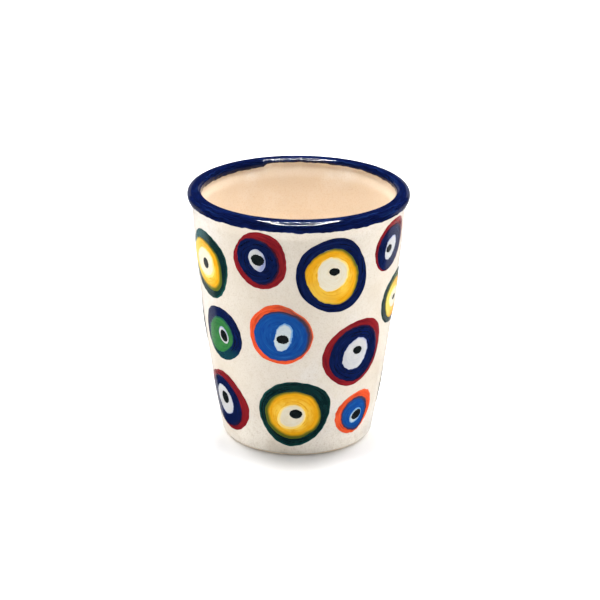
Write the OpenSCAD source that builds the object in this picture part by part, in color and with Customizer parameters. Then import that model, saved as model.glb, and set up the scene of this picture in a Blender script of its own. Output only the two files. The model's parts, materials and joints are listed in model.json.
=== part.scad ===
// Ceramic shot glass with a cobalt lip and rows of painted eyes.
// One fired clay cup carries everything: a white glaze inside and out, a cobalt coat over the lip,
// and on the wall the eyes, each painted in four layers, one on top of the other. Every coat and
// every painted layer is a thin solid of its own that meets the one below it face to face.
// +Z is up. The origin is the centre of the foot, on the surface that the cup stands on.
// Places round the wall are angles from the front (-Y), positive towards +X.

/* [Cup] */
// Height from the table to the top of the lip
cup_h = 60; // [56:1:64]
// Radius of the wall at the table
foot_r = 17.6; // [17:0.1:18.6]
// Radius of the wall just under the lip
neck_r = 24.6; // [24:0.1:24.9]
// How far the middle of the wall bows out from a straight taper
wall_bow = 0.9; // [0:0.1:1.2]
// Thickness of the wall with its glazes
wall_t = 2.9; // [2.6:0.1:3.4]
// Thickness of the floor with its glaze
floor_t = 4.5; // [3.5:0.1:6]
// Radius of the corner between the wall and the floor, inside
corner_r = 5; // [3:0.5:8]

/* [Lip] */
// Widest radius of the cup, at the lip
lip_r = 25.7; // [25.6:0.1:26.4]
// How far below the top the wall starts to flare out to the lip
flare_drop = 5; // [4:0.5:7]
// How far the cobalt band comes down outside
band_out_drop = 2.6; // [2:0.1:3.2]
// How far the cobalt band comes down inside
band_in_drop = 1.3; // [0.6:0.1:1.5]

/* [Foot] */
// Radius of the shallow hollow under the cup
recess_r = 13.5; // [11:0.5:15]
// Depth of that hollow
recess_h = 0.8; // [0.6:0.1:1.5]
// Rounding of the clay at the outer edge of the foot
foot_round = 0.7; // [0.3:0.1:1]

/* [Coats] */
// Thickness of the white glaze
glaze_t = 0.3; // [0.2:0.05:0.4]
// How far the cobalt band stands proud of the white glaze
band_proud = 0.1; // [0.05:0.05:0.2]
// Thickness of an eye's outer blob, which shows as its ring
ring_t = 0.12; // [0.08:0.02:0.2]
// Thickness of the disc painted on the ring
disc_t = 0.08; // [0.06:0.02:0.16]
// Thickness of the pale iris painted on the disc
iris_t = 0.06; // [0.06:0.02:0.16]
// Thickness of the dark pupil painted on the iris
pupil_t = 0.06; // [0.06:0.02:0.16]

/* [Quality] */
// Steps in a full circle, as drawn on screen
$fn = 128; // [64:16:256]

/* [Hidden] */
// Heights of the wall's landmarks
neck_z = cup_h - 4;
flare_z = cup_h - flare_drop;
band_z = cup_h - band_out_drop;
glaze_z = foot_round;
full_glaze_z = foot_round + 0.5;
// The lip is a round roll on top of the wall
roll_r = wall_t / 2 + band_proud;
clay_roll_r = wall_t / 2 - glaze_t;
lip_z = cup_h - roll_r;
lip_mid_r = lip_r - roll_r;
// Where the cobalt ends on the inner side of the roll, as an angle round it
band_end_a = 180 - asin((roll_r - band_in_drop) / roll_r);
// How finely the curved outlines are cut
wall_bands = 6;
flare_bands = 4;
roll_step_a = 15;
corner_steps = 6;

// Which paints each kind of eye takes: ring, disc, iris
KINDS = [
  ["green_yellow", "darkgreen", "goldenrod", "irises_cream"],
  ["red_navy", "firebrick", "midnightblue", "irises_white"],
  ["navy_yellow", "midnightblue", "goldenrod", "irises_cream"],
  ["navy_green", "midnightblue", "seagreen", "irises_white"],
  ["orange_blue", "coral", "steelblue", "irises_pale_blue"],
];

// Every eye: row, kind, angle round the wall and height of its centre, then its four layers. A
// layer is [right, up, half width, half height, lean, point, direction of the point], in mm and
// degrees: an oval that leans anticlockwise and is drawn out to a soft point on one side.
EYES = [
  ["upper", "green_yellow", -61, 45.4,
    [-0.3, -0.4, 6.8, 8.2, 35, 0.32, 35], [-0.4, -0.4, 6.9, 5.2, -35, 0.24, 40],
    [-0.3, 0.2, 3.5, 4.1, -80, 0.1, 305], [0.2, 0.1, 1.2, 1.3, 40, 0.08, 240]],
  ["upper", "red_navy", -21.6, 50,
    [0.2, -0.3, 6.7, 6.4, -65, 0.1, 75], [-0.3, -0.2, 4.6, 5.8, 30, 0.12, 10],
    [-0.1, 0.1, 1.9, 2.7, 15, 0.1, 180], [0, 0.1, 1.6, 1.3, -5, 0.1, 120]],
  ["upper", "navy_yellow", 19.4, 46.6,
    [-0.6, 0.3, 8, 8.8, -10, 0.28, 325], [-0.1, -0.9, 5.8, 6.8, 50, 0.24, 80],
    [-0.1, 0.7, 3.5, 4, 30, 0.26, 235], [0, 1, 1.3, 0.9, -5, 0.12, 280]],
  ["upper", "red_navy", 61, 50.3,
    [0, 0.3, 6.8, 5.4, 45, 0.08, 180], [-0.3, -0.4, 5.8, 4.7, 45, 0.1, 155],
    [-0.7, -0.5, 1.9, 3, -35, 0.18, 135], [-1.6, -0.5, 1.2, 0.9, 10, 0.08, 285]],
  ["upper", "navy_yellow", 107, 47,
    [0, 0, 7.4, 8, -15, 0.05, 200], [0.3, -0.2, 5.6, 5.9, 0, 0, 0],
    [0.4, 0.2, 3, 3.3, 20, 0, 0], [0.2, 0.6, 1.3, 1.2, 0, 0, 0]],
  ["upper", "orange_blue", 146, 49.5,
    [0, 0, 6.6, 6.4, 0, 0.05, 60], [-0.2, -0.2, 5.9, 5.5, 0, 0, 0],
    [0.1, 0.2, 1.9, 2.8, 25, 0, 0], [0, 0, 1.4, 1.2, 0, 0, 0]],
  ["upper", "red_navy", 182, 46.5,
    [0, 0, 7.1, 7.6, 25, 0, 0], [0.2, 0.3, 6.1, 6.5, 20, 0, 0],
    [0.3, 0.4, 2.5, 3.1, -15, 0, 0], [0.5, 0.8, 1.4, 1.3, 0, 0, 0]],
  ["upper", "green_yellow", 219, 49,
    [0, 0, 7.2, 6.8, 10, 0.05, 300], [-0.3, 0.2, 5.3, 4.9, 0, 0, 0],
    [-0.2, -0.1, 2.8, 2.6, 0, 0, 0], [0.1, 0.1, 1.3, 1.1, 0, 0, 0]],
  ["upper", "orange_blue", 254, 46,
    [0, 0, 6.4, 7.2, -20, 0.05, 130], [0.2, -0.2, 5.7, 6.3, -10, 0, 0],
    [0.1, 0.3, 1.9, 2.9, 10, 0, 0], [0.1, -0.2, 1.4, 1.2, 0, 0, 0]],

  ["middle", "navy_green", -52, 29,
    [-0.3, 0.1, 6.2, 7, -45, 0.12, 315], [-0.9, -0.5, 3.9, 5.3, -40, 0.16, 350],
    [1, -0.1, 2.1, 1.6, -70, 0.04, 0], [1.2, -0.2, 1.5, 1.2, -70, 0.04, 135]],
  ["middle", "orange_blue", -10.2, 31.9,
    [-0.3, 0, 7, 7.5, 15, 0.12, 5], [0.5, -0.4, 6.5, 6.1, 20, 0.1, 125],
    [0.8, -0.8, 1.9, 3.3, -20, 0.36, 100], [0.6, -0.8, 1.4, 1.1, 10, 0.14, 330]],
  ["middle", "red_navy", 37.2, 25.9,
    [0.4, -0.1, 7.7, 8.6, -35, 0.14, 155], [0.2, -0.5, 6.7, 7, -65, 0.14, 105],
    [0.3, 0, 3.2, 3.9, -10, 0.24, 210], [0.4, 0.7, 1.3, 1, -15, 0.08, 65]],
  ["middle", "green_yellow", 75, 35.9,
    [-0.2, -0.1, 7.2, 6.2, 20, 0.04, 120], [0, 0, 5.9, 5, 15, 0.08, 115],
    [-0.6, 0, 3.3, 2.5, 0, 0.06, 180], [-1, -0.1, 1, 0.6, 10, 0.04, 140]],
  ["middle", "red_navy", 121, 30.5,
    [0, 0, 7.6, 7.9, 20, 0.04, 250], [0.2, 0.1, 6.5, 6.9, 10, 0, 0],
    [0.2, -0.3, 2.9, 3.6, 20, 0, 0], [0, 0.3, 1.4, 1.2, 0, 0, 0]],
  ["middle", "navy_green", 165, 28.5,
    [0, 0, 7, 7.1, 0, 0.06, 40], [0.3, 0.2, 5, 4.9, 0, 0, 0],
    [0.2, 0.4, 1.9, 2, 0, 0, 0], [0.4, 0.3, 1.2, 1.2, 0, 0, 0]],
  ["middle", "orange_blue", 211, 31,
    [0, 0, 7.3, 7, -10, 0.06, 190], [-0.3, 0, 6.4, 6, 0, 0, 0],
    [-0.6, 0.4, 2, 3.1, 20, 0, 0], [-0.6, -0.1, 1.4, 1.2, 0, 0, 0]],
  ["middle", "navy_yellow", 263, 27.5,
    [0, 0, 6.4, 6.1, 0, 0.02, 20], [-0.2, 0.2, 4.7, 4.4, 0, 0, 0],
    [0.1, 0.1, 2.5, 2.6, 0, 0, 0], [0.2, 0.3, 1.2, 1.1, 0, 0, 0]],

  ["lower", "red_navy", -56.5, 11.1,
    [-0.8, -0.6, 6.7, 8.4, 80, 0.24, 80], [-1.4, -0.2, 5.6, 6.4, -10, 0.28, 335],
    [-0.7, -0.2, 3.2, 3.6, 35, 0.16, 80], [-0.2, 0.8, 1.4, 1.6, -15, 0.08, 315]],
  ["lower", "green_yellow", -2, 11.5,
    [0, 0.3, 8.1, 8.7, -45, 0.08, 285], [-0.4, -0.7, 6.6, 5.9, -15, 0.2, 70],
    [-0.7, -0.6, 3.6, 2.9, 45, 0.16, 310], [0.4, 0.2, 1.5, 1.2, -5, 0.1, 275]],
  ["lower", "orange_blue", 44, 9.8,
    [0.5, -0.1, 4.9, 5.7, -30, 0.3, 170], [-0.2, 0.1, 4.1, 3.9, 15, 0.36, 285],
    [0.1, -0.9, 2, 1.7, 50, 0.06, 230], [0.3, -0.7, 1.5, 1.2, 20, 0.08, 220]],
  ["lower", "green_yellow", 98, 11.5,
    [0, 0, 5.8, 6.4, 10, 0, 0], [0.2, 0, 4.3, 4.6, 0, 0, 0],
    [0.2, 0.2, 2.3, 2.5, 0, 0, 0], [0, 0.4, 1.1, 1.1, 0, 0, 0]],
  ["lower", "orange_blue", 147, 10.5,
    [0, 0, 6.1, 6.3, -25, 0.06, 120], [0.2, 0.2, 5, 5.2, 0, 0, 0],
    [0.1, 0.3, 1.9, 2.4, -20, 0, 0], [0.1, 0.1, 1.4, 1.2, 0, 0, 0]],
  ["lower", "navy_yellow", 197, 11.5,
    [0, 0, 6.8, 7.3, 10, 0.03, 270], [-0.2, 0.1, 5.1, 5.4, 0, 0, 0],
    [-0.4, 0.3, 2.9, 3, 0, 0, 0], [-0.1, 0.5, 1.3, 1.2, 0, 0, 0]],
  ["lower", "red_navy", 247, 10.6,
    [0, 0, 6.1, 6.4, 30, 0.05, 30], [-0.2, 0.2, 5.2, 5.4, 20, 0, 0],
    [-0.1, 0, 2.3, 2.7, 0, 0, 0], [0.2, 0.2, 1.2, 1.2, 0, 0, 0]],
];

// The four layers of an eye: place in its EYES row, thickness, height of its underside above the
// white glaze, and how many points its outline has
RING = [4, ring_t, 0, 40];
DISC = [5, disc_t, ring_t, 36];
IRIS = [6, iris_t, ring_t + disc_t, 28];
PUPIL = [7, pupil_t, ring_t + disc_t + iris_t, 24];

eye_count = len(EYES);
function number_in_row(i) = len([for (j = [0 : i]) if (EYES[j][0] == EYES[i][0]) j]);
function eye_name(i) = str(EYES[i][0], "_eye_", number_in_row(i));
function ring_name(i) = str(eye_name(i), "_ring");
function disc_name(i) = str(eye_name(i), "_disc");
function kind(i) = KINDS[search([EYES[i][1]], KINDS)[0]];

function reversed(points) = [for (i = [len(points) - 1 : -1 : 0]) points[i]];
function ease(x) = let(t = min(max(x, 0), 1)) t * t * (3 - 2 * t);

// Radius of the wall's bowed taper, and of the finished white wall with its flare
function bow_r(z) = let(t = z / neck_z) foot_r + (neck_r - foot_r) * t + 4 * wall_bow * t * (1 - t);
lip_flare = lip_r - band_proud - bow_r(lip_z);
function skin_r(z) = bow_r(z) + lip_flare * ease((z - flare_z) / (lip_z - flare_z));

// Heights at which the wall's outline has a point, from the edge of the glaze up to the cobalt
skin_levels = concat(
  [for (i = [0 : wall_bands]) full_glaze_z + (flare_z - full_glaze_z) * i / wall_bands],
  [for (i = [1 : flare_bands]) flare_z + (band_z - flare_z) * i / flare_bands]
);

// Pieces of outline, as lists of [radius, height]
function wall_line(out, levels) = [for (z = levels) [skin_r(z) + out, z]];
function roll_angles(from, to) =
  concat([from], [for (a = [0 : roll_step_a : 180]) if (a > from && a < to) a], [to]);
function roll_arc(r, from, to) =
  [for (a = roll_angles(from, to)) [lip_mid_r + r * cos(a), lip_z + r * sin(a)]];
corner_z = floor_t + corner_r;
corner_mid_r = skin_r(corner_z) - wall_t - corner_r;
function corner_arc(r) =
  [for (i = [0 : corner_steps]) let(a = -90 * i / corner_steps)
    [corner_mid_r + r * cos(a), corner_z + r * sin(a)]];
inner_levels = [for (z = reversed(skin_levels)) if (z > corner_z) z];
foot_mid_r = skin_r(foot_round) - glaze_t - foot_round;
foot_arc = [for (a = [-90 : 30 : 0])
  [foot_mid_r + foot_round * cos(a), foot_round + foot_round * sin(a)]];

// The thrown cup itself: wall, floor, foot and the core of the lip, in unglazed clay
module clay_body() {
  color("tan")
    rotate_extrude()
      polygon(concat(
        [[0, recess_h], [recess_r - recess_h / 2, recess_h], [recess_r, 0]],
        foot_arc,
        wall_line(-glaze_t, skin_levels),
        roll_arc(clay_roll_r, 0, 180),
        wall_line(glaze_t - wall_t, inner_levels),
        corner_arc(corner_r + glaze_t),
        [[0, floor_t - glaze_t]]
      ));
}

// White glaze over the outside, from just above the foot up to the cobalt
module outside_glaze() {
  glaze_edge_r = skin_r(glaze_z) - glaze_t;
  color("ivory")
    rotate_extrude()
      polygon(concat(
        [[glaze_edge_r, glaze_z], [glaze_edge_r + glaze_t * 2 / 3, glaze_z + 0.1]],
        wall_line(0, skin_levels),
        wall_line(-glaze_t, reversed(skin_levels))
      ));
}

// Cream glaze over the floor, up the inner wall and round to the cobalt
module inside_glaze() {
  color("antiquewhite")
    rotate_extrude()
      polygon(concat(
        [[0, floor_t]],
        reversed(corner_arc(corner_r)),
        reversed(wall_line(-wall_t, inner_levels)),
        reversed(roll_arc(wall_t / 2, band_end_a, 180)),
        roll_arc(clay_roll_r, band_end_a, 180),
        wall_line(glaze_t - wall_t, inner_levels),
        corner_arc(corner_r + glaze_t),
        [[0, floor_t - glaze_t]]
      ));
}

// Thin glaze in the hollow under the foot, clear of the table
module underside_glaze() {
  color("ivory")
    translate([0, 0, recess_h - glaze_t])
      cylinder(h = glaze_t, r = recess_r - recess_h);
}

// Cobalt coat over the lip, slightly proud of the white glaze on both sides
module rim_band() {
  color("midnightblue")
    rotate_extrude()
      polygon(concat(
        [[skin_r(band_z) - glaze_t, band_z], [skin_r(band_z), band_z]],
        [[skin_r(band_z) + band_proud, band_z + band_proud]],
        roll_arc(roll_r, 0, band_end_a),
        reversed(roll_arc(clay_roll_r, 0, band_end_a))
      ));
}

// Distance from a blob's centre to its edge in direction a: a leaning oval, a soft point, and the
// small unevenness of a brush, which differs from blob to blob
function blob_r(s, a, seed) =
  (1 + s[5] * exp(4 * (cos(a - s[6]) - 1)) + 0.02 * sin(3 * a + seed) + 0.012 * sin(5 * a - 2 * seed))
  / norm([cos(a - s[4]) / s[2], sin(a - s[4]) / s[3]]);

// Outline of one layer of an eye, seen from straight in front of the eye and wrapped on the wall
function outline(eye, layer, seed) =
  let(s = eye[layer[0]], points = layer[3], r0 = skin_r(eye[3]))
  [for (k = [0 : points - 1])
    let(a = 360 * k / points, r = blob_r(s, a, seed))
    let(z = eye[3] + s[1] + r * sin(a), turn = (s[0] + r * cos(a)) / r0 * 180 / PI)
    [skin_r(z) * sin(turn), z]];

// One painted layer: a shell that follows the wall, cut to the layer's outline
module paint(i, layer) {
  eye = EYES[i];
  points = outline(eye, layer, i * 73 + layer[0] * 41);
  low = min([for (p = points) p[1]]);
  high = max([for (p = points) p[1]]);
  top_level = len(skin_levels) - 1;
  levels = [for (k = [0 : top_level])
    if (skin_levels[min(k + 1, top_level)] > low && skin_levels[max(k - 1, 0)] < high) skin_levels[k]];
  rotate([0, 0, eye[2]])
    intersection() {
      rotate_extrude()
        polygon(concat(
          wall_line(layer[2], levels),
          reversed(wall_line(layer[2] + layer[1], levels))
        ));
      rotate([90, 0, 0])
        linear_extrude(lip_r + 1)
          polygon(points);
    }
}

module eye_ring(i) {
  color(kind(i)[1]) paint(i, RING);
}

module eye_disc(i) {
  color(kind(i)[2]) paint(i, DISC);
}

// All the irises of one paint, each a separate solid on its own disc
module irises(name, tint) {
  color(tint)
    for (i = [0 : eye_count - 1])
      if (kind(i)[3] == name)
        paint(i, IRIS);
}

module pupils() {
  color("black")
    for (i = [0 : eye_count - 1])
      paint(i, PUPIL);
}

clay_body();
outside_glaze();
inside_glaze();
underside_glaze();
rim_band();
for (i = [0 : eye_count - 1]) {
  eye_ring(i);
  eye_disc(i);
}
irises("irises_cream", "cornsilk");  // irises_cream
irises("irises_white", "lavender");  // irises_white
irises("irises_pale_blue", "lightblue");  // irises_pale_blue
pupils();
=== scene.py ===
import json
import math

import bmesh
import bpy
import numpy as np
from mathutils import Matrix, Vector


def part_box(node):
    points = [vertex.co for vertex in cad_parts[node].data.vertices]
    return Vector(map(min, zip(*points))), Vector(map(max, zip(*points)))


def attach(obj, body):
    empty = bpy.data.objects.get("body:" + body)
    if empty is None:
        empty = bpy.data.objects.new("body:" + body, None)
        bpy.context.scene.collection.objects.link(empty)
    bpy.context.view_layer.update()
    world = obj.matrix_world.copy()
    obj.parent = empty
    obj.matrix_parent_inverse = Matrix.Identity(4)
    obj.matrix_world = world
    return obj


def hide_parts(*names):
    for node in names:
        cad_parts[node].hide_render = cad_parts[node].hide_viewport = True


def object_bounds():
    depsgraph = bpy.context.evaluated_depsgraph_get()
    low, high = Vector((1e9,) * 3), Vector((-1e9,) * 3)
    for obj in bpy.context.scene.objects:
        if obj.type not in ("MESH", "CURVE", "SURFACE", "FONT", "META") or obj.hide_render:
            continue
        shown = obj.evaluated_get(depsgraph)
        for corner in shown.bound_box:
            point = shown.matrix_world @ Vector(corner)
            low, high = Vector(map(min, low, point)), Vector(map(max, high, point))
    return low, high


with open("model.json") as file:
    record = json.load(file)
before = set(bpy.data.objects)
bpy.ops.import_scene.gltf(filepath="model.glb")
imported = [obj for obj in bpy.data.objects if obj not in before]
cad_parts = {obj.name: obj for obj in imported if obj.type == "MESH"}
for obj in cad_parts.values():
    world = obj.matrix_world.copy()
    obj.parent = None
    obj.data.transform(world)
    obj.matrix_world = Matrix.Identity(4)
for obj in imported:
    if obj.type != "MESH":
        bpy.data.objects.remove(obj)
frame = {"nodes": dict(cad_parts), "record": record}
CAD_LOW, CAD_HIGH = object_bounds()

# The looks of a hand-painted ceramic shot glass. Each coat of glaze and each layer of paint is a
# closed mesh of its own that lies on the one below. Lengths are in metres. Places round the wall
# are angles in radians from the front (-Y), positive towards +X.

MM = 0.001

# ---- The cup's dimensions, as in the CAD model ------------------------------------------------

CUP_H = CAD_HIGH.z
LIP_R = CAD_HIGH.x
FOOT_R = 17.6 * MM
NECK_R = 24.6 * MM
NECK_DROP = 4 * MM
WALL_BOW = 0.9 * MM
WALL_T = 2.9 * MM
CORNER_R = 5 * MM
FLARE_DROP = 5 * MM
BAND_IN_DROP = 1.3 * MM
RECESS_R = 13.5 * MM
GLAZE_T = 0.3 * MM
BAND_PROUD = 0.1 * MM

NECK_Z = CUP_H - NECK_DROP
FLARE_Z = CUP_H - FLARE_DROP
BAND_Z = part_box("rim_band")[0].z
GLAZE_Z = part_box("outside_glaze")[0].z
FLOOR_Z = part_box("inside_glaze")[0].z + GLAZE_T
RECESS_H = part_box("underside_glaze")[1].z
RECESS_GLAZE_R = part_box("underside_glaze")[1].x
ROLL_R = WALL_T / 2 + BAND_PROUD
LIP_Z = CUP_H - ROLL_R
LIP_MID_R = LIP_R - ROLL_R
BAND_END = math.pi - math.asin((ROLL_R - BAND_IN_DROP) / ROLL_R)

# ---- Hand-made unevenness, and how the coats meet ---------------------------------------------

SWAY = 0.045 * MM       # how far the wall strays from true round
SINK = 0.05 * MM        # how deep a coat is bedded in what it lies on
PAINT_SINK = 0.02 * MM
BEAD_H = 0.5 * MM       # height of the rounded edge of the white glaze
TUCK = 0.6 * MM         # how far the white and cream glazes reach under the cobalt
BAND_EDGE = 0.35 * MM   # width of the rounded edge of the cobalt
PAINT_EDGE = 0.4 * MM   # width of the rounded edge of a layer of paint
RING_T, DISC_T, IRIS_T, PUPIL_T = 0.12 * MM, 0.08 * MM, 0.06 * MM, 0.06 * MM

LATHE_SPOKES = 256
BAND_SPOKES = 800
PAINT_SPOKES = 128
SMOOTH_WAVES = 14       # waves round a painted outline that are kept when it is smoothed


def ease(x):
    t = np.clip(x, 0, 1)
    return t * t * (3 - 2 * t)


def rounded(x):
    """A quarter circle: 0 at 0, 1 from 1 on, steep at its start."""
    return np.sqrt(1 - (1 - np.clip(x, 0, 1)) ** 2)


def bow_r(z):
    t = z / NECK_Z
    return FOOT_R + (NECK_R - FOOT_R) * t + 4 * WALL_BOW * t * (1 - t)


LIP_FLARE = LIP_R - BAND_PROUD - bow_r(LIP_Z)


def skin_r(z):
    """Radius of the finished white wall at a height."""
    return bow_r(z) + LIP_FLARE * ease((z - FLARE_Z) / (LIP_Z - FLARE_Z))


def sway(angle, z):
    """How far the hand-finished wall stands out from true round at a place on it."""
    slow = np.sin(2 * angle + 1.1 + 35 * z) + 0.6 * np.sin(3 * angle - 2 - 60 * z)
    quick = 0.35 * np.sin(7 * angle + 260 * z) + 0.3 * np.sin(5 * angle - 410 * z + 2)
    return SWAY * (slow + quick) * ease(z / (10 * MM))


def skin(angle, z):
    return skin_r(z) + sway(angle, z)


def unevenness(angle, seed, waves, size):
    """Smooth hand-made unevenness round a circle, about size each way."""
    rng = np.random.default_rng(seed)
    total = sum(
        rng.normal() * np.sin(n * angle + rng.uniform(0, 2 * math.pi)) for n in waves
    )
    return size * total / math.sqrt(len(waves) / 2)


def spokes(count):
    return np.arange(count) * 2 * math.pi / count


def on_wall(r, angle, z):
    """Points from radii, angles and heights of any shapes that go together."""
    r, angle, z = np.broadcast_arrays(r, angle, z)
    return np.stack([r * np.sin(angle), -r * np.cos(angle), z], axis=-1)


# ---- Meshes -----------------------------------------------------------------------------------


def shell(rings, loop=False, **values):
    """A closed surface from rings of points, (ring, spoke, xyz). With loop, the last ring joins the
    first; otherwise each end closes in a point. values are numbers for each point of the rings."""
    count, around = rings.shape[:2]
    index = np.arange(count * around).reshape(count, around)
    if loop:
        index = np.vstack([index, index[:1]])
    beside = np.roll(index, -1, axis=1)
    quads = np.stack([index[:-1], beside[:-1], beside[1:], index[1:]], axis=-1)
    points = rings.reshape(-1, 3)
    faces = quads.reshape(-1, 4).tolist()
    values = {key: v.reshape(count * around, -1) for key, v in values.items()}
    if not loop:
        first, last = count * around, count * around + 1
        points = np.vstack([points, rings[0].mean(0), rings[-1].mean(0)])
        faces += [[first, b, a] for a, b in zip(index[0], beside[0])]
        faces += [[last, a, b] for a, b in zip(index[-1], beside[-1])]
        for key, v in values.items():
            values[key] = np.vstack([v, v[:around].mean(0), v[-around:].mean(0)])
    first, second, third = (points[[face[i] for face in faces]] for i in range(3))
    volume = np.einsum("ij,ij->i", first, np.cross(second, third)).sum()
    if volume < 0:
        faces = [f[::-1] for f in faces]
    return points, faces, values


def piece(name, node, slot, material, shells):
    """A piece from one or more shells. It stands for a CAD node, which it hides; slot is not used."""
    points, faces, start = [], [], 0
    for shell_points, shell_faces, _ in shells:
        points.append(shell_points)
        faces += [[i + start for i in face] for face in shell_faces]
        start += len(shell_points)
    mesh = bpy.data.meshes.new(name)
    mesh.from_pydata(np.vstack(points).tolist(), [], faces)
    for key in shells[0][2]:
        data = np.vstack([s[2][key] for s in shells])
        is_vector = data.shape[1] == 3
        layer = mesh.attributes.new(key, "FLOAT_VECTOR" if is_vector else "FLOAT", "POINT")
        layer.data.foreach_set("vector" if is_vector else "value", data.ravel())
    mesh.shade_smooth()
    mesh.materials.append(material)
    made = bpy.data.objects.new(name, mesh)
    bpy.context.scene.collection.objects.link(made)
    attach(made, "root")
    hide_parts(node)
    return made


# ---- Materials --------------------------------------------------------------------------------


def tone(red, green, blue):
    """A colour as seen on a screen, 0 to 255, turned into the shader's linear numbers."""
    parts = [c / 255 for c in (red, green, blue)]
    return [c / 12.92 if c <= 0.04045 else ((c + 0.055) / 1.055) ** 2.4 for c in parts] + [1]


class Shader:
    """A material with one Principled shader, and short calls for the nodes that feed it."""

    def __init__(self, name, roughness, specular=0.5):
        self.material = bpy.data.materials.new(name)
        self.material.use_nodes = True
        self.tree = self.material.node_tree
        self.tree.nodes.clear()
        self.principled = self.tree.nodes.new("ShaderNodeBsdfPrincipled")
        output = self.tree.nodes.new("ShaderNodeOutputMaterial")
        self.tree.links.new(self.principled.outputs["BSDF"], output.inputs["Surface"])
        self.set("Roughness", roughness)
        self.set("Specular IOR Level", specular)

    def set(self, socket, value):
        self.feed(self.principled.inputs[socket], value)

    def feed(self, socket, value):
        if isinstance(value, bpy.types.NodeSocket):
            self.tree.links.new(value, socket)
        else:
            socket.default_value = value

    def node(self, kind, **settings):
        made = self.tree.nodes.new(kind)
        for key, value in settings.items():
            setattr(made, key, value)
        return made

    def attribute(self, name, output="Fac"):
        return self.node("ShaderNodeAttribute", attribute_name=name).outputs[output]

    def position(self):
        return self.node("ShaderNodeTexCoord").outputs["Object"]

    def height(self):
        made = self.node("ShaderNodeSeparateXYZ")
        self.feed(made.inputs["Vector"], self.position())
        return made.outputs["Z"]

    def noise(self, vector, scale, detail=2.0, roughness=0.5, distortion=0.0):
        made = self.node("ShaderNodeTexNoise")
        self.feed(made.inputs["Vector"], vector)
        self.feed(made.inputs["Scale"], scale)
        self.feed(made.inputs["Detail"], detail)
        self.feed(made.inputs["Roughness"], roughness)
        self.feed(made.inputs["Distortion"], distortion)
        return made.outputs["Fac"]

    def spread(self, value, low, high, to_low=0.0, to_high=1.0):
        """value from low to high, eased to run from to_low to to_high."""
        made = self.node("ShaderNodeMapRange", interpolation_type="SMOOTHSTEP")
        for socket, number in zip(made.inputs, (value, low, high, to_low, to_high)):
            self.feed(socket, number)
        return made.outputs["Result"]

    def mix(self, share, first, second):
        made = self.node("ShaderNodeMix", data_type="RGBA")
        for socket, value in (("Factor_Float", share), ("A_Color", first), ("B_Color", second)):
            found = next(s for s in made.inputs if s.identifier == socket)
            self.feed(found, value)
        return next(s for s in made.outputs if s.identifier == "Result_Color")

    def sum(self, first, second, share):
        """first plus second times share."""
        made = self.node("ShaderNodeMath", operation="MULTIPLY_ADD")
        for socket, value in zip(made.inputs, (second, share, first)):
            self.feed(socket, value)
        return made.outputs["Value"]

    def bump(self, height, depth):
        made = self.node("ShaderNodeBump")
        self.feed(made.inputs["Height"], height)
        self.feed(made.inputs["Distance"], depth)
        self.set("Normal", made.outputs["Normal"])


def clay_material():
    look = Shader("bisque_clay", 0.8, 0.25)
    place = look.position()
    grain = look.noise(place, 2200, 4, 0.65)
    blotch = look.noise(place, 260, 3)
    colour = look.mix(look.spread(blotch, 0.3, 0.7), tone(238, 224, 204), tone(226, 206, 180))
    colour = look.mix(look.spread(grain, 0.62, 0.72), colour, tone(190, 166, 138))
    look.set("Base Color", colour)
    look.set("Roughness", look.spread(grain, 0.3, 0.7, 0.9, 0.7))
    look.bump(look.sum(grain, blotch, 0.8), 0.05 * MM)
    return look.material


def pale_glaze_material(name, main, warm, cool, speck, painted_lighting_tone, painted_lighting_from, painted_lighting_to):
    """A glossy pale glaze: slow warm and cool clouds, a fine mottle, a finer grain, and a few
    pinholes. Its main colour fades to another between two heights. Where it turns lighter this is
    painted light, and where it turns darker it is painted shade; either way it evens out how the lamps
    light the wall."""
    look = Shader(name, 0.14)
    place = look.position()
    cloud = look.noise(place, 70, 3, 0.55)
    mottle = look.noise(place, 900, 3, 0.6)
    grain = look.noise(place, 3000, 2, 0.6)
    pinhole = look.noise(place, 1500, 1, 0.4)
    # Painted light and painted shade: the colour changes with height to even out how the lamps light
    # the wall
    colour = look.mix(look.spread(look.height(), painted_lighting_from, painted_lighting_to), main, painted_lighting_tone)
    colour = look.mix(look.spread(cloud, 0.3, 0.5, 0.6, 0), colour, warm)
    colour = look.mix(look.spread(cloud, 0.52, 0.7), colour, cool)
    colour = look.mix(look.spread(mottle, 0.5, 0.72, 0, 0.5), colour, warm)
    colour = look.mix(look.spread(grain, 0.48, 0.66, 0, 0.3), colour, speck)
    colour = look.mix(look.spread(pinhole, 0.76, 0.8, 0, 0.6), colour, speck)
    look.set("Base Color", colour)
    look.set("Roughness", look.spread(mottle, 0.3, 0.7, 0.1, 0.2))
    look.bump(look.sum(look.noise(place, 240, 2), mottle, 0.2), 0.02 * MM)
    return look.material


def cobalt_material():
    """Brushed cobalt: streaks along the lip, and paler towards its thin edges."""
    look = Shader("cobalt_glaze", 0.03, 0.22)
    stroke = look.attribute("stroke", "Vector")
    streak = look.noise(stroke, 1.6, 4, 0.6, 0.4)
    patch = look.noise(stroke, 0.6, 3, 0.6, 0.6)
    colour = look.mix(look.spread(streak, 0.35, 0.65), tone(5, 8, 36), tone(12, 25, 72))
    colour = look.mix(look.spread(patch, 0.52, 0.75, 0, 0.6), colour, tone(30, 56, 108))
    thin = look.spread(look.attribute("edge"), 0.02 * MM, 0.25 * MM, 0.4, 0)
    colour = look.mix(thin, colour, tone(28, 42, 98))
    look.set("Base Color", colour)
    look.set("Roughness", look.spread(streak, 0.3, 0.7, 0.02, 0.05))
    look.bump(look.sum(streak, patch, 0.7), 0.004 * MM)
    return look.material


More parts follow.
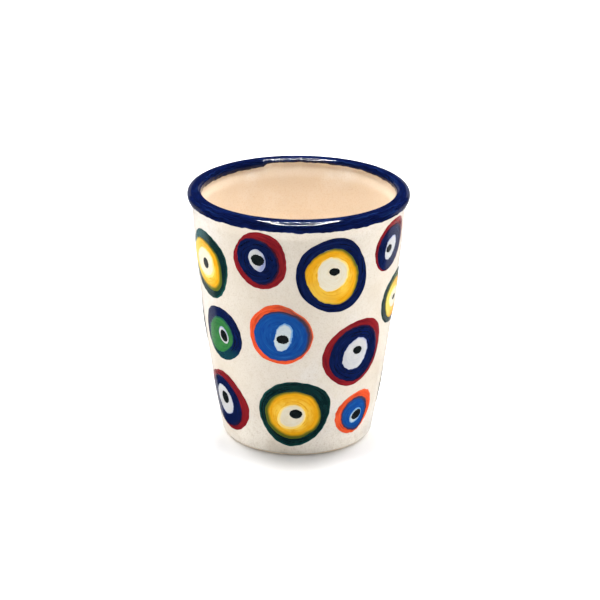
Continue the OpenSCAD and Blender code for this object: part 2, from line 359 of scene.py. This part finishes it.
def paint_material(name, main, deep, light, edge, edge_w, over=None, core=None, drift=None):
    """A brushed glaze paint: streaks round the eye, a slow patchiness, and an edge where it runs
    thin or takes up the colour under it, wider on some sides. over is the edge's colour where it
    lies on other paint, core the colour near its middle, and drift what it leans to on one side."""
    look = Shader(name, 0.1)
    stroke = look.attribute("stroke", "Vector")
    streak = look.noise(stroke, 0.8, 3, 0.6, 0.6)
    patch = look.noise(look.position(), 330, 3, 0.6)
    colour = main
    if core:
        inward = look.sum(look.attribute("share"), patch, 0.5)
        colour = look.mix(look.spread(inward, 0.72, 1.08), core, main)
    colour = look.mix(look.spread(streak, 0.34, 0.52), deep, colour)
    colour = look.mix(look.spread(streak, 0.54, 0.76), colour, light)
    colour = look.mix(look.spread(patch, 0.5, 0.72, 0, 0.5), colour, deep)
    if drift:
        lean = look.sum(look.attribute("drift"), patch, 0.5)
        colour = look.mix(look.spread(lean, 0.35, 1.1), colour, drift)
    if over:
        edge = look.mix(look.attribute("on_paint"), edge, over)
    ragged = look.sum(look.attribute("edge"), streak, -0.4 * edge_w)
    ragged = look.sum(ragged, look.attribute("bleed"), -0.45 * edge_w)
    colour = look.mix(look.spread(ragged, -0.3 * edge_w, 0.8 * edge_w), edge, colour)
    look.set("Base Color", colour)
    look.set("Roughness", look.spread(streak, 0.3, 0.7, 0.07, 0.14))
    look.bump(look.sum(streak, patch, 0.5), 0.015 * MM)
    return look.material


PAINTS = {
    "paint_dark_green": paint_material(
        "paint_dark_green", tone(14, 42, 42), tone(8, 30, 34), tone(20, 60, 54),
        tone(22, 66, 62), 0.35 * MM, drift=tone(20, 76, 80)),
    "paint_red": paint_material(
        "paint_red", tone(124, 25, 32), tone(92, 18, 30), tone(154, 34, 38),
        tone(136, 34, 40), 0.3 * MM),
    "paint_navy": paint_material(
        "paint_navy", tone(10, 24, 67), tone(7, 15, 48), tone(18, 36, 88),
        tone(20, 28, 62), 0.45 * MM, over=tone(58, 22, 40), drift=tone(18, 58, 68)),
    "paint_orange": paint_material(
        "paint_orange", tone(218, 80, 42), tone(190, 62, 34), tone(228, 98, 56),
        tone(220, 96, 60), 0.3 * MM, drift=tone(116, 62, 58)),
    "paint_yellow": paint_material(
        "paint_yellow", tone(221, 160, 22), tone(210, 144, 17), tone(229, 172, 40),
        tone(84, 92, 30), 0.8 * MM, core=tone(236, 194, 72), drift=tone(222, 196, 88)),
    "paint_green": paint_material(
        "paint_green", tone(50, 112, 58), tone(38, 92, 54), tone(68, 130, 70),
        tone(30, 76, 66), 0.5 * MM),
    "paint_blue": paint_material(
        "paint_blue", tone(18, 72, 144), tone(13, 60, 130), tone(32, 90, 162),
        tone(60, 50, 66), 0.6 * MM),
    "paint_cream": paint_material(
        "paint_cream", tone(216, 208, 188), tone(212, 200, 172), tone(220, 214, 198),
        tone(238, 208, 118), 0.55 * MM),
    "paint_white": paint_material(
        "paint_white", tone(190, 190, 189), tone(178, 180, 184), tone(200, 200, 199),
        tone(150, 158, 192), 0.3 * MM, drift=tone(132, 142, 184)),
    "paint_pale_blue": paint_material(
        "paint_pale_blue", tone(188, 198, 199), tone(174, 188, 192), tone(201, 207, 206),
        tone(104, 152, 200), 0.45 * MM),
    "paint_black": paint_material(
        "paint_black", tone(20, 26, 27), tone(12, 17, 20), tone(36, 40, 38),
        tone(32, 38, 42), 0.2 * MM),
}


# ---- The cup and its glazes -------------------------------------------------------------------


def wall_rings(angle, out, levels):
    return [on_wall(skin(angle, z) + out, angle, z) for z in levels]


def arc_rings(angle, mid_r, mid_z, r, turns):
    """Rings round an arc in the cup's outline. A turn of 0 is outward and a quarter turn is up."""
    return [on_wall(mid_r + r * np.cos(t) + sway(angle, mid_z), angle, mid_z + r * np.sin(t))
            for t in turns]


CORNER_Z = FLOOR_Z + CORNER_R
CORNER_MID_R = skin_r(CORNER_Z) - WALL_T - CORNER_R


def fired_clay():
    angle = spokes(LATHE_SPOKES)
    core = GLAZE_T
    foot_mid_r = skin_r(GLAZE_Z) - core - GLAZE_Z
    grit = [abs(unevenness(angle, seed, range(9, 90, 7), 0.02 * MM)) for seed in range(14)]
    rings = [on_wall(r, angle, RECESS_H) for r in np.linspace(3, 12, 4) * MM]
    rings += [on_wall(r * MM, angle, z * MM) for r, z in ((13.0, 0.8), (13.25, 0.7), (13.38, 0.45))]
    flat = np.linspace(RECESS_R, foot_mid_r, 9)
    rings += [on_wall(r, angle, g * 1.5) for r, g in zip(flat, grit)]
    for turn in np.radians(np.linspace(-75, 0, 6)):
        r = foot_mid_r + GLAZE_Z * math.cos(turn)
        rings.append(on_wall(r, angle, GLAZE_Z * (1 + math.sin(turn))))
    below_flare = np.linspace(GLAZE_Z + 0.2 * MM, FLARE_Z, 30)
    levels = np.concatenate([below_flare, np.linspace(FLARE_Z, LIP_Z, 8)[1:]])
    rings += wall_rings(angle, -core, levels)
    over_lip = np.radians(np.linspace(15, 165, 11))
    rings += arc_rings(angle, LIP_MID_R, LIP_Z, WALL_T / 2 - core, over_lip)
    down = [z for z in levels[::-1] if z > CORNER_Z]
    rings += wall_rings(angle, core - WALL_T, down)
    round_corner = np.radians(np.linspace(0, -90, 7))
    rings += arc_rings(angle, CORNER_MID_R, CORNER_Z, CORNER_R + core, round_corner)
    rings += [on_wall(r * MM, angle, FLOOR_Z - core) for r in (6, 3)]
    return piece("fired_clay", "clay_body", "bisque_clay", clay_material(), [shell(np.array(rings))])


def foot_curve(z):
    """How far the rounded edge of the foot draws in at a height."""
    rise = np.clip(1 - z / GLAZE_Z, 0, 1)
    return GLAZE_Z * (1 - np.sqrt(1 - rise**2))


def outside_glaze(material):
    angle = spokes(LATHE_SPOKES)
    start = 0.45 * MM + unevenness(angle, 3, (1, 2, 3, 5, 8, 13, 21), 0.05 * MM)
    rings = []
    for share in (0, 0.03, 0.08, 0.16, 0.28, 0.42, 0.6, 0.8, 1):
        fat = 0.03 * MM * math.sin(math.pi * share)
        out = GLAZE_T * (rounded(share) - 1) + fat
        z = start + share * BEAD_H
        rings.append(on_wall(skin(angle, z) + out - foot_curve(z), angle, z))
    top = BAND_Z + TUCK
    levels = np.concatenate([np.arange(2, 55) * MM, np.linspace(FLARE_Z, top, 10)])
    rings += wall_rings(angle, 0, levels)
    inner = np.concatenate([[top], np.arange(54, 1, -4) * MM])
    rings += wall_rings(angle, -GLAZE_T - SINK, inner)
    deepest = skin(angle, start) - foot_curve(start) - GLAZE_T - SINK
    rings.append(on_wall(deepest, angle, start))
    return piece("outside_glaze_coat", "outside_glaze", "white_glaze", material,
                 [shell(np.array(rings), loop=True)])


def inside_glaze(material):
    angle = spokes(LATHE_SPOKES)
    levels = np.concatenate([np.arange(10, 55) * MM, np.linspace(FLARE_Z, LIP_Z, 8)])
    levels = levels[levels > CORNER_Z]
    tucked = np.linspace(math.pi, BAND_END - TUCK / ROLL_R, 6)[1:]
    floor_r = np.array([0.5, 1.5, 2.5, 3.5, 4.5, 5.5, 6.5, 7.5, 8.5, 9.5]) * MM
    dish = 0.12 * MM
    rings = [on_wall(r, angle, FLOOR_Z - dish * math.cos(r / (10 * MM) * math.pi / 2)) for r in floor_r]
    corner = np.radians(np.linspace(-90, 0, 16))[1:]
    rings += arc_rings(angle, CORNER_MID_R, CORNER_Z, CORNER_R, corner)
    rings += wall_rings(angle, -WALL_T, levels)
    rings += arc_rings(angle, LIP_MID_R, LIP_Z, WALL_T / 2, tucked)
    deep = GLAZE_T + SINK
    rings += arc_rings(angle, LIP_MID_R, LIP_Z, WALL_T / 2 - deep, tucked[::-1])
    rings += wall_rings(angle, deep - WALL_T, levels[::-4])
    rings += arc_rings(angle, CORNER_MID_R, CORNER_Z, CORNER_R + deep, corner[::-3])
    rings += [on_wall(r, angle, FLOOR_Z - deep - dish) for r in (9 * MM, 4 * MM, 1 * MM)]
    return piece("inside_glaze_coat", "inside_glaze", "cream_glaze", material, [shell(np.array(rings))])


def underside_glaze(material):
    """A thin coat in the hollow of the foot that hangs from it like a shallow drop."""
    angle = spokes(LATHE_SPOKES)
    edge_r = RECESS_GLAZE_R + unevenness(angle, 8, (2, 3, 5, 7, 11), 0.12 * MM) - 0.15 * MM
    rings = []
    for share in (0.1, 0.3, 0.5, 0.7, 0.85, 0.93, 0.97, 0.99, 1):
        hang = GLAZE_T * rounded((1 - share) * 8)
        lumps = unevenness(angle, int(share * 100), (2, 3, 4, 6), 0.01 * MM)
        rings.append(on_wall(edge_r * share, angle, RECESS_H - hang + lumps * (share < 0.95)))
    rings += [on_wall(edge_r * share, angle, RECESS_H + SINK) for share in (1, 0.7, 0.3)]
    return piece("underside_glaze_coat", "underside_glaze", "white_glaze", material,
                 [shell(np.array(rings))])


# Inside, the cobalt reaches further down on one side, by this many radians of the lip's roll
BROAD_PART = 0.5
BROAD_AT = math.radians(-115)
BAND_SWELL = 0.33 * MM  # how much fatter the cobalt is on the inner side of the lip
SWELL_FROM = 1.4        # where on the roll that begins and how long it grows, in radians
SWELL_OVER = 1.2
BAND_BED = 0.02 * MM    # how deep the rim of the cobalt's edge lies in the glaze


def rim_band():
    """The cobalt coat, from its wavy lower edge outside, over the lip, to its wavy edge inside."""
    angle = spokes(BAND_SPOKES)
    low = BAND_Z + unevenness(angle, 21, (2, 3, 5, 7, 9, 14, 22, 31), 0.07 * MM)
    low += unevenness(angle, 26, (47, 59, 71, 88, 103), 0.035 * MM)
    end = BAND_END + unevenness(angle, 22, (2, 3, 5, 8, 12, 19, 27), 0.03)
    end += unevenness(angle, 27, (45, 61, 77, 98), 0.02)
    end += BROAD_PART * ease((np.cos(angle - BROAD_AT) - 0.7) / 0.04)
    end += BROAD_PART / 2 * ease((np.sin(angle) - 0.5) / 0.4)
    outside_h = LIP_Z - low
    path_len = outside_h + ROLL_R * end
    rings, edges, strokes = [], [], []
    for share in np.concatenate([[0, 0.004, 0.012, 0.025, 0.045, 0.07], np.linspace(0.1, 0.9, 22),
                                 [0.93, 0.955, 0.975, 0.988, 0.996, 1]]):
        along = share * path_len
        turn = np.clip((along - outside_h) / ROLL_R, 0, None)
        edge = np.minimum(along, path_len - along)
        ripple = unevenness(angle + 0.4 * share, 23, range(80, 200, 12), 0.0008 * MM)
        lump = unevenness(angle - share, 24 + int(share * 6), range(12, 50, 6), 0.003 * MM)
        coat = BAND_PROUD * rounded(edge / BAND_EDGE) - BAND_BED
        coat += (ripple + lump) * ease(edge / BAND_EDGE)
        swell = ease((turn - SWELL_FROM) / SWELL_OVER)
        coat += BAND_SWELL * swell * rounded(edge / (2 * BAND_EDGE))
        roll_r = WALL_T / 2 + coat
        stretches = [turn == 0, turn <= math.pi]
        z_on_roll = LIP_Z + roll_r * np.sin(turn)
        z = np.select(stretches, [low + along, z_on_roll], LIP_Z - ROLL_R * (turn - math.pi))
        on_roll = LIP_MID_R + sway(angle, LIP_Z) + roll_r * np.cos(turn)
        r = np.select(stretches, [skin(angle, z) + coat, on_roll], skin(angle, z) - WALL_T - coat)
        rings.append(on_wall(r, angle, z))
        edges.append(edge)
        strokes.append(np.stack([5 * np.cos(angle), 5 * np.sin(angle), along / (0.25 * MM)], axis=-1))
    inner_r = WALL_T / 2 - GLAZE_T - SINK
    for share in (1, 0.75, 0.5, 0.25, 0):
        rings.append(on_wall(LIP_MID_R + sway(angle, LIP_Z) + inner_r * np.cos(end * share), angle,
                             LIP_Z + inner_r * np.sin(end * share)))
    rings.append(on_wall(skin(angle, low) - GLAZE_T - SINK, angle, low))
    hidden = len(rings) - len(edges)
    edges += [np.zeros_like(angle)] * hidden
    strokes += [np.zeros((len(angle), 3))] * hidden
    return piece("cobalt_lip_coat", "rim_band", "cobalt_glaze", cobalt_material(),
                 [shell(np.array(rings), loop=True, edge=np.array(edges), stroke=np.array(strokes))])


# ---- The painted eyes -------------------------------------------------------------------------

TURNS = spokes(PAINT_SPOKES)
INSETS = np.array([0.42, 0.3, 0.2, 0.12, 0.06, 0.02, 0]) * MM
CORE_RINGS = 6
STROKE_W = 0.3 * MM     # width of a brush streak in the paint
STROKE_TURN = 1.6       # how many streaks follow one another in a radian round an eye


class Blob:
    """One layer of paint: its centre on the wall, its outline round that centre, its thickness."""

    def __init__(self, edge_points, thickness, seed):
        x, y, z = edge_points.T
        first = math.atan2(x[0], -y[0])
        angle = np.angle(np.exp(1j * (np.arctan2(x, -y) - first)))
        self.angle = first + (angle.min() + angle.max()) / 2
        self.z = (z.min() + z.max()) / 2
        self.r = skin_r(self.z)
        self.thickness = thickness
        self.seed = seed
        right = (angle + first - self.angle) * self.r
        up = z - self.z
        turn = np.arctan2(up, right)
        reach = self.fit(turn, np.hypot(right, up))
        self.reach = reach + unevenness(TURNS, seed, range(6, 27, 3), 0.035 * MM)

    @staticmethod
    def fit(turn, reach):
        """The outline as a reach for each of TURNS, with its corners smoothed away."""
        order = np.argsort(turn)
        even = np.interp(TURNS, turn[order], reach[order], period=2 * math.pi)
        waves = np.fft.rfft(even)
        waves[SMOOTH_WAVES:] = 0
        return np.fft.irfft(waves, len(TURNS))

    def inset(self, angle, z):
        """How far inside the outline a place on the wall is; negative outside."""
        right = np.angle(np.exp(1j * (angle - self.angle))) * self.r
        up = z - self.z
        edge = np.interp(np.arctan2(up, right), TURNS, self.reach, period=2 * math.pi)
        return edge - np.hypot(right, up)

    def height(self, angle, z):
        return self.thickness * rounded(self.inset(angle, z) / PAINT_EDGE)

    def shell(self, below, lean, bleed):
        """Its closed surface on the layers below. lean tells how its colour drifts: towards which
        angle, and how much. bleed tells how its edge widens: towards which angle, on how many
        sides, and how much all round."""
        core = self.reach - INSETS[0]
        reach = [core * k / (CORE_RINGS + 1) for k in range(1, CORE_RINGS + 1)]
        reach = np.array(reach + [self.reach - inset for inset in INSETS])
        angle = self.angle + reach * np.cos(TURNS) / self.r
        z = self.z + reach * np.sin(TURNS)
        base = skin(angle, z) + sum(blob.height(angle, z) for blob in below)
        own = self.thickness * rounded((self.reach - reach) / PAINT_EDGE)
        top = on_wall(base + own, angle, z)
        bottom = on_wall(base - PAINT_SINK, angle, z)[::-1]
        along = np.stack([np.cos(TURNS) + self.seed, np.sin(TURNS)], axis=-1) * STROKE_TURN
        along = np.broadcast_to(along, reach.shape + (2,))
        across = reach[..., None] / STROKE_W
        turn, sides, all_round = bleed
        side, strength = lean
        share = reach / self.reach
        values = {
            "edge": self.reach - reach,
            "share": share,
            "stroke": np.concatenate([along, across], axis=-1),
            "drift": strength * np.cos(TURNS - side) * share - (strength == 0),
            "bleed": np.broadcast_to(np.cos(sides * (TURNS - turn)) + all_round, reach.shape),
            "on_paint": np.full_like(reach, len(below) > 0),
        }
        both = {key: np.concatenate([v, v[::-1]]) for key, v in values.items()}
        return shell(np.concatenate([top, bottom]), **both)


def edge_points(node):
    """For each separate solid of a CAD node, the points of its outline on its outer face."""
    work = bmesh.new()
    work.from_mesh(frame["nodes"][node].data)
    bmesh.ops.remove_doubles(work, verts=work.verts, dist=0.002 * MM)
    work.normal_update()

    def facing(face):
        middle = face.calc_center_median()
        return face.normal.dot(Vector((middle.x, middle.y, 0)).normalized())

    outer = {f for f in work.faces if facing(f) > 0.7}
    left, found = set(work.verts), []
    while left:
        todo, group = [next(iter(left))], set()
        while todo:
            vert = todo.pop()
            if vert not in group:
                group.add(vert)
                todo += [edge.other_vert(vert) for edge in vert.link_edges]
        left -= group
        rim = [v.co[:] for v in sorted(group, key=lambda v: v.index)
               if any(f in outer for f in v.link_faces) and any(f not in outer for f in v.link_faces)]
        found.append(np.array(rim))
    work.free()
    return sorted(found, key=lambda p: (round(p[:, 2].mean(), 5), round(p[:, 0].mean(), 5)))


def near(blob, blobs):
    """The name of the blob that lies nearest to this one on the wall."""
    def gap(name):
        other = blobs[name]
        turn = abs(math.remainder(blob.angle - other.angle, 2 * math.pi))
        return math.hypot(turn * blob.r, blob.z - other.z)
    return min(blobs, key=gap)


# The side on which a layer's colour drifts, in degrees anticlockwise from its right, and how much
LEANS = {"upper_eye_1_ring": (150, 1), "upper_eye_1_disc": (180, 1), "upper_eye_3_disc": (235, 0.5),
         "upper_eye_2_iris": (330, 1), "middle_eye_1_ring": (265, 1), "middle_eye_2_ring": (25, 1),
         "middle_eye_4_disc": (180, 1)}
# How an eye's edges bleed: towards which angle, on how many sides, and how much all round
BLEEDS = {"upper_eye_1": (310, 1, 0.7), "upper_eye_3": (30, 1, -0.2), "middle_eye_2": (30, 1, 0.2),
          "lower_eye_2": (235, 1, 0.9), "lower_eye_3": (0, 1, 1)}


def lean(layer):
    """The drift of a layer of paint: its direction and strength."""
    side, strength = LEANS.get(layer, (0, 0))
    return math.radians(side), strength


def eyes(slots):
    names = sorted(n[:-5] for n in frame["nodes"] if n.endswith("_ring"))
    rng = np.random.default_rng(5)
    bleeds = {n: BLEEDS.get(n, (rng.integers(0, 360), 1, 0)) for n in names}
    bleeds = {n: (math.radians(turn), *rest) for n, (turn, *rest) in bleeds.items()}
    rings, discs, irises = {}, {}, {}
    for i, name in enumerate(names):
        rings[name] = Blob(edge_points(name + "_ring")[0], RING_T, 100 + i)
        discs[name] = Blob(edge_points(name + "_disc")[0], DISC_T, 200 + i)
        for layer, blob, below in (("ring", rings[name], []), ("disc", discs[name], [rings[name]])):
            node = f"{name}_{layer}"
            piece(node + "_paint", node, slots[node], PAINTS[slots[node]],
                  [blob.shell(below, lean(node), bleeds[name])])
    for node in ("irises_cream", "irises_white", "irises_pale_blue"):
        shells = []
        for i, points in enumerate(edge_points(node)):
            blob = Blob(points, IRIS_T, 300 + i)
            name = near(blob, rings)
            irises[name] = blob
            shells.append(blob.shell([rings[name], discs[name]], lean(name + "_iris"), bleeds[name]))
        piece(node + "_paint", node, slots[node], PAINTS[slots[node]], shells)
    shells = []
    for i, points in enumerate(edge_points("pupils")):
        blob = Blob(points, PUPIL_T, 400 + i)
        name = near(blob, rings)
        below = [rings[name], discs[name], irises[name]]
        shells.append(blob.shell(below, lean(name + "_pupil"), bleeds[name]))
    piece("pupils_paint", "pupils", slots["pupils"], PAINTS[slots["pupils"]], shells)


# The white glaze turns lighter from 13 mm down to 1 mm. This is painted light near the foot, where the
# cup's own shadow dims the wall.
white = pale_glaze_material(
    "white_glaze", tone(212, 203, 190), tone(202, 190, 172), tone(214, 208, 200), tone(184, 169, 149),
    tone(232, 225, 213), 13 * MM, 1 * MM)
# The cream glaze turns deeper from 0.84 to 0.96 of the cup's height. This is painted shade near the
# rim, where more light reaches the inside wall.
cream = pale_glaze_material(
    "cream_glaze", tone(242, 227, 208), tone(240, 222, 198), tone(246, 233, 217), tone(224, 200, 168),
    tone(236, 217, 194), 0.84 * CUP_H, 0.96 * CUP_H)
fired_clay()
outside_glaze(white)
inside_glaze(cream)
underside_glaze(white)
rim_band()
eyes({part["node"]: part["material_slot"] for part in frame["record"]["subparts"]})


# ---- Floor, lights and camera -----------------------------------------------------------------


def floor():
    mesh = bpy.data.meshes.new("floor")
    reach = 3.0
    corners = [(-reach, -reach, 0), (reach, -reach, 0), (reach, reach, 0), (-reach, reach, 0)]
    mesh.from_pydata(corners, [], [(0, 1, 2, 3)])
    look = Shader("floor_white", 0.9, 0.0)
    look.set("Base Color", tone(240, 240, 240))
    mesh.materials.append(look.material)
    made = bpy.data.objects.new("floor", mesh)
    made.visible_glossy = False
    bpy.context.scene.collection.objects.link(made)


def lamp(name, at, wide, tall, power, highlight=False):
    """A lamp that faces the cup. A highlight lamp is only seen in the glaze; others only light."""
    light = bpy.data.lights.new(name, "AREA")
    light.shape = "RECTANGLE"
    light.size = wide
    light.size_y = tall
    light.energy = power
    made = bpy.data.objects.new(name, light)
    made.location = at
    towards = Vector((0, 0, CUP_H / 2)) - Vector(at)
    made.rotation_euler = towards.to_track_quat("-Z", "Y").to_euler()
    made.visible_glossy = highlight
    made.visible_diffuse = not highlight
    made.visible_camera = False
    bpy.context.scene.collection.objects.link(made)


def lights():
    """Softboxes above, behind, beside and in front, cards that show only as the pale sheen of the
    glaze at the silhouette, and a frame of small bright lamps overhead whose mirror images make
    the row of sparks along the lip."""
    lamp("top_softbox", (0, 0, 1.2), 0.3, 0.3, 12.8)
    lamp("back_softbox", (0, 0.7, 0.9), 0.3, 0.3, 4.1)
    lamp("front_softbox", (0, -0.9, 0.45), 0.6, 0.4, 1.1)
    for side in (-1, 1):
        lamp("side_softbox", (side * 0.6, 0, 0.6), 0.3, 0.3, 1.1)
        lamp("rear_softbox", (side * 0.5, 0.45, 0.6), 0.4, 0.4, 5.1)
        lamp("low_softbox", (side * 0.5, 0, 0.03), 0.6, 0.055, 1.7)
        lamp("edge_softbox", (side * 0.3, 0.65, 0.12), 0.3, 0.3, 2.8)
        lamp("low_card", (side * 0.25, 0.8, -0.3), 0.5, 0.4, 0.35, highlight=True)
        lamp("low_side_card", (side * 0.8, 0.65, -0.3), 0.5, 0.4, 0.28, highlight=True)
        lamp("back_card", (side * 0.38, 1.0, 0.1), 0.5, 0.4, 0.2, highlight=True)
    lamp_z, half_w, front_y, back_y = 0.35, 0.11, -0.29, 0.0
    spots = [(x, y) for y in (front_y, back_y) for x in np.linspace(-half_w, half_w, 9)]
    spots += [(side * half_w, y) for side in (-1, 1) for y in np.linspace(front_y, back_y, 9)[1:-1]]
    for x, y in spots:
        lamp("spark_lamp", (x, y, lamp_z), 0.01, 0.01, 0.36, highlight=True)
    world = bpy.data.worlds.new("studio")
    bpy.context.scene.world = world
    world.use_nodes = True
    world.node_tree.nodes["Background"].inputs["Color"].default_value = (1, 1, 1, 1)
    world.node_tree.nodes["Background"].inputs["Strength"].default_value = 0.04
    world.cycles_visibility.glossy = False


def camera():
    data = bpy.data.cameras.new("camera")
    data.sensor_width = 36
    data.lens = 126.4
    made = bpy.data.objects.new("camera", data)
    pitch, yaw, roll = np.radians([21.0, 0.06, 0.47])
    level = math.cos(pitch)
    ahead = Vector((math.sin(yaw) * level, math.cos(yaw) * level, -math.sin(pitch)))
    right = Vector((math.cos(yaw), -math.sin(yaw), 0))
    up = right.cross(ahead)
    tilted_right = math.cos(roll) * right + math.sin(roll) * up
    tilted_up = math.cos(roll) * up - math.sin(roll) * right
    turn = Matrix((tilted_right, tilted_up, -ahead)).transposed().to_4x4()
    made.matrix_world = Matrix.Translation((0, -0.4615, 0.2092)) @ turn
    bpy.context.scene.collection.objects.link(made)
    bpy.context.scene.camera = made


floor()
lights()
camera()
bpy.context.scene.view_settings.view_transform = "Standard"
